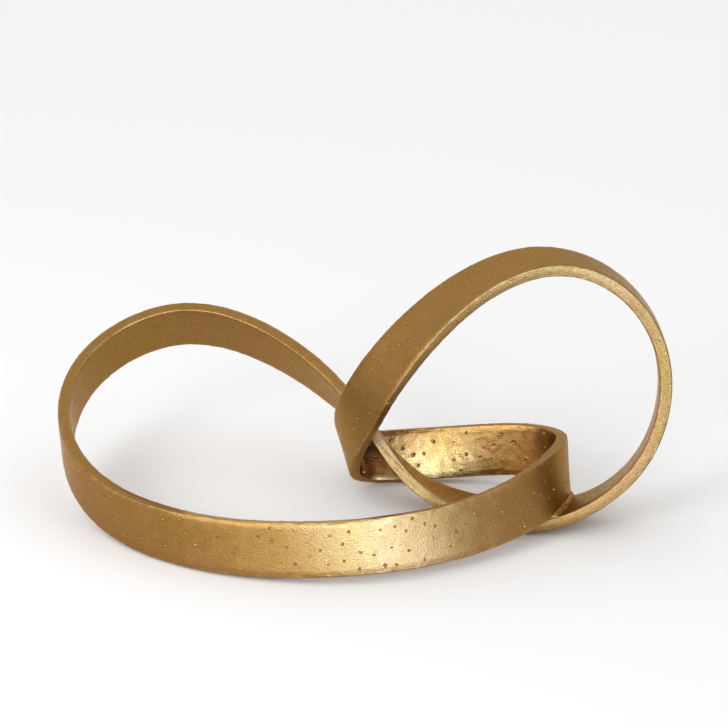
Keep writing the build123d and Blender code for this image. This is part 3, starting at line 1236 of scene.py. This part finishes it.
@dataclass
class TackWeld:
    """The blob that ties the return's near edge to the back of the rising band."""

    name: str
    radius: float = 5.0
    squash: float = 0.62  # share of its thickness that is kept across the gap
    detail: int = 5
    samples: int = 400

    def build(self, knot: Knot) -> Piece:
        """Sets a flattened blob between the two bands.

        Args:
            knot: the path.

        Returns:
            The mesh object.
        """
        low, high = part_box("bend_tack_weld")
        centre = np.array((low + high) / 2) / MM
        f = knot.frames(np.linspace(ROW["bend_side"], ROW["ring_rising"], self.samples))
        k = int(np.linalg.norm(f.centre - centre, axis=1).argmin())
        bpy.ops.mesh.primitive_ico_sphere_add(subdivisions=self.detail, radius=1.0)
        ball = bpy.context.object
        round_points = np.array([v.co for v in ball.data.vertices])
        faces = [tuple(p.vertices) for p in ball.data.polygons]
        bpy.data.objects.remove(ball)
        inward = f.inward[k]
        depth = round_points @ inward
        flat = round_points - depth[:, None] * inward * (1 - self.squash)
        made = build_mesh(self.name, centre + flat * self.radius, faces)
        set_points(made, "bar_mm", round_points * self.radius)
        return made


# -------- the studio
@dataclass(frozen=True)
class Lamp:
    """A soft box that looks at a point. Lengths are in metres."""

    name: str
    place: tuple[float, float, float]
    size: tuple[float, float]
    watts: float
    colour: str = "#FFFFFF"
    on_table: bool = True
    aim: tuple[float, float, float] = (0.0, 0.0, 0.06)

    def build(self) -> None:
        """Adds the lamp."""
        data = bpy.data.lights.new(self.name, "AREA")
        data.shape = "RECTANGLE"
        data.size, data.size_y = self.size
        data.energy = self.watts
        data.color = linear(self.colour)[:3]
        made = bpy.data.objects.new(self.name, data)
        made.visible_camera = False
        made.visible_diffuse = self.on_table
        made.location = self.place
        away = Vector(self.place) - Vector(self.aim)
        made.rotation_euler = away.to_track_quat("Z", "Y").to_euler()
        bpy.context.scene.collection.objects.link(made)


@dataclass(frozen=True)
class Laminate:
    """Matt white laminate: an even pale ground with soft shadows and no gloss."""

    name: str = "matt white laminate"
    colour: str = "#F4F4F4"
    roughness: float = 0.75

    def material(self) -> bpy.types.Material:
        """Builds the material, even all over because the floor is plain.

        Returns:
            The finished material.
        """
        made = bpy.data.materials.new(self.name)
        made.use_nodes = True
        shader = made.node_tree.nodes["Principled BSDF"]
        shader.inputs["Base Color"].default_value = linear(self.colour)
        shader.inputs["Roughness"].default_value = self.roughness
        shader.inputs["Specular IOR Level"].default_value = 0.0
        return made


@dataclass(frozen=True)
class Studio:
    """A pale table, a soft surround, the lamps and the camera.

    Lengths are in metres, apart from the lens and the sensor, and the elevation is
    in degrees.
    """

    lens: float = 98.9
    elevation: float = 24.07
    distance: float = 1.3837
    target: tuple[float, float, float] = (0.0025, 0.2025, 0.0)
    sensor: float = 36.0
    near_and_far: tuple[float, float] = (0.01, 20.0)
    floor_size: float = 16.0
    floor_drop: float = 0.00005  # keeps the table clear of the ground flats
    surround: str = "#FFFFFF"
    surround_strength: tuple[float, float] = (0.5, 1.0)
    surround_full: float = 0.45  # how high up the surround is at full strength
    lamps: tuple[Lamp, ...] = (
        Lamp("key soft box", (0.29, -1.19, 0.50), (0.38, 0.38), 20.5, "#98C0FF", False),
        Lamp("broad soft box", (-0.42, -1.15, 0.50), (0.9, 0.6), 5.0, "#E8F0FF", False),
        Lamp("left soft box", (-0.81, -0.81, 0.62), (0.5, 0.5), 5.0),
    )

    def build(self) -> None:
        """Sets the scene up round the knot."""
        self.floor()
        self.sky()
        for lamp in self.lamps:
            lamp.build()
        self.camera()
        bpy.context.scene.view_settings.view_transform = "Standard"

    def floor(self) -> None:
        """Lays the table just under the ground flats."""
        half = self.floor_size / 2
        corners = np.array(((-half, -half), (half, -half), (half, half), (-half, half)))
        points = np.column_stack((corners, np.full(4, -self.floor_drop))) / MM
        table = build_mesh("table_top", points, [(0, 1, 2, 3)])
        table.data.materials.append(Laminate().material())

    def sky(self) -> None:
        """Sets the surround, dimmer low down than high up."""
        world = bpy.data.worlds.new("studio surround")
        world.use_nodes = True
        tree = world.node_tree
        sky = tree.nodes["Background"]
        way = add(tree, "ShaderNodeTexCoord").outputs["Generated"]
        height = add(tree, "ShaderNodeSeparateXYZ", {0: way}).outputs["Z"]
        low, high = self.surround_strength
        span = {"From Min": 0.0, "From Max": self.surround_full, "To Min": low, "To Max": high}
        strength = add(tree, RANGE, {"Value": height} | span)
        sky.inputs["Color"].default_value = linear(self.surround)
        tree.links.new(strength.outputs[0], sky.inputs["Strength"])
        bpy.context.scene.world = world

    def camera(self) -> None:
        """Sets the camera up, looking at the target."""
        data = bpy.data.cameras.new("camera")
        data.lens = self.lens
        data.sensor_width = self.sensor
        data.clip_start, data.clip_end = self.near_and_far
        made = bpy.data.objects.new("camera", data)
        rise = math.radians(self.elevation)
        back = Vector((0.0, -math.cos(rise), math.sin(rise)))
        made.location = Vector(self.target) + back * self.distance
        made.rotation_euler = back.to_track_quat("Z", "Y").to_euler()
        bpy.context.scene.collection.objects.link(made)
        bpy.context.scene.camera = made


def report(made: bpy.types.Object, node: str) -> None:
    """Hands a finished piece to the frame and logs it.

    Args:
        made: the piece.
        node: the solid it stands for.
    """
    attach(made, "root")
    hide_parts(node)
    log.info("%s stands for %s with %d faces", made.name, node, len(made.data.polygons))


def main() -> None:
    """Builds the knot's pieces in order, then the studio."""
    logging.basicConfig(level=logging.INFO, format="%(message)s")
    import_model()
    knot = Knot()
    skin, beads = CastSkin(), WeldSkin()
    cast_gold = CastGold().material()
    # Dressed weld metal under the same gold, so it looks like the castings.
    weld_gold = CastGold(name="gold finish on dressed weld metal").material()
    skin_tree = skin.tree("cast skin", cast_gold)
    seam_tree = skin.tree("ground seam skin", weld_gold)
    bead_tree = beads.tree(weld_gold)
    castings = (
        Casting("big_loop_band", first=SEAMS["back"], last=SEAMS["fold"]),
        Casting("fold_band", first=SEAMS["fold"], last=SEAMS["inner_run"]),
        Casting("bend_band", first=SEAMS["inner_run"], last=SEAMS["ring"]),
        Casting("ring_band", first=SEAMS["ring"], last=SEAMS["back"] + COUNT),
    )
    for number, casting in enumerate(castings):
        made = casting.build(knot)
        skin.apply(made, skin_tree, number)
        report(made, casting.name.replace("_band", "_casting"))
    for seam in (
        ButtWeld("back_seam_bead", place=SEAMS["back"]),
        ButtWeld("fold_seam_bead", place=SEAMS["fold"]),
        ButtWeld("inner_run_seam_bead", place=SEAMS["inner_run"]),
        ButtWeld("ring_seam_bead", place=SEAMS["ring"], ridge=Side.LOW_EDGE),
    ):
        made = seam.build(knot)
        skin.apply(made, seam_tree)
        report(made, seam.name.replace("_bead", "_weld"))
    for weld in (
        FilletWeld("outer_fillet_bead", -1),
        FilletWeld("inner_fillet_bead", 1),
        TackWeld("bend_tack_bead"),
    ):
        made = weld.build(knot)
        beads.apply(made, bead_tree)
        report(made, weld.name.replace("_bead", "_weld"))
    Studio().build()


if __name__ == "__main__":
    main()
